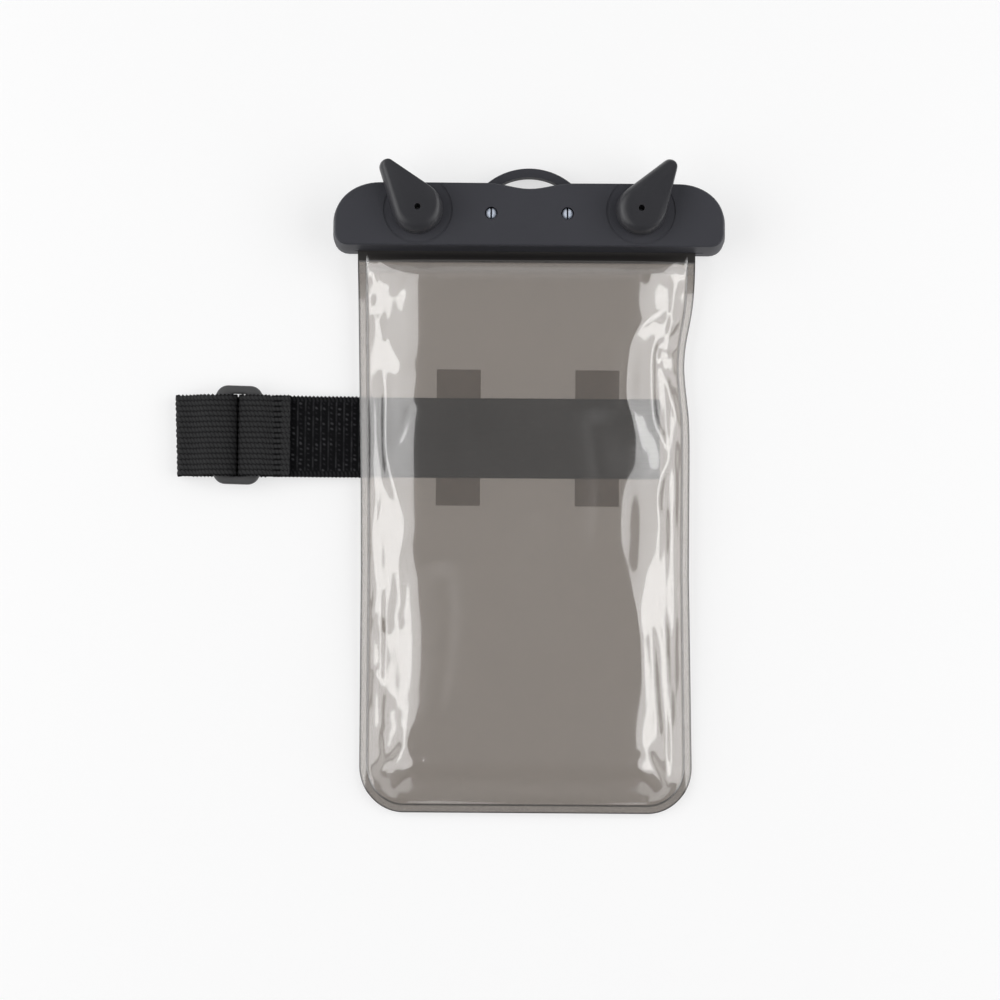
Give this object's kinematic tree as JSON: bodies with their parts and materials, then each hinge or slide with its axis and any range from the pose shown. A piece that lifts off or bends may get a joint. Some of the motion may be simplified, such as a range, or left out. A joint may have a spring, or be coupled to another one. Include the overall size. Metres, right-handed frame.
{
  "type": "waterproof phone pouch",
  "caption": "Waterproof see-through pouch with a twist-lock clamp across its mouth, a lanyard bow and a webbing arm strap with a slide buckle.",
  "frame": {"origin": "middle of the rear clamp bar's back face, which lies on the table", "axes": "+Z out of the clear front film, +Y from the pouch's bottom towards the clamp, +X to the right as seen from the front"},
  "size_m": [0.1737, 0.2056, 0.0197],
  "materials": {
    "clamp_plastic": "fine matte moulded black",
    "lever_plastic": "satin moulded black",
    "seal_rubber": "soft matte",
    "peg_plastic": "pale natural moulding",
    "screw_steel": "plated",
    "clear_film": "glossy clear film",
    "smoke_film": "glossy smoke-tinted film",
    "webbing": "black ribbed webbing",
    "pile": "black loop pile",
    "buckle_plastic": "satin moulded black"
  },
  "bodies": {
    "pouch": {"rear_clamp_bar": "clamp_plastic", "front_clamp_bar": "clamp_plastic", "rear_seal_strip": "seal_rubber", "front_seal_strip": "seal_rubber", "left_split_peg": "peg_plastic", "right_split_peg": "peg_plastic", "rear_film": "smoke_film", "front_film": "clear_film", "left_strap_loop": "smoke_film", "right_strap_loop": "smoke_film", "strap_webbing": "webbing", "strap_pile": "pile", "buckle_tab": "webbing", "slide_buckle": "buckle_plastic"},
    "left_lock": {"left_lever": "lever_plastic", "left_lock_shaft": "lever_plastic", "left_shaft_screw": "screw_steel"},
    "right_lock": {"right_lever": "lever_plastic", "right_lock_shaft": "lever_plastic", "right_shaft_screw": "screw_steel"}
  },
  "joints": [
    {"name": "left_lever_turn", "type": "hinge", "parent": "pouch", "child": "left_lock", "pos_m": [-0.0352, 0.0013, 0], "axis": [0, 0, 1], "range_deg": [0, 90]},
    {"name": "right_lever_turn", "type": "hinge", "parent": "pouch", "child": "right_lock", "pos_m": [0.0352, 0.0013, 0], "axis": [0, 0, 1], "range_deg": [-90, 0]}
  ]
}
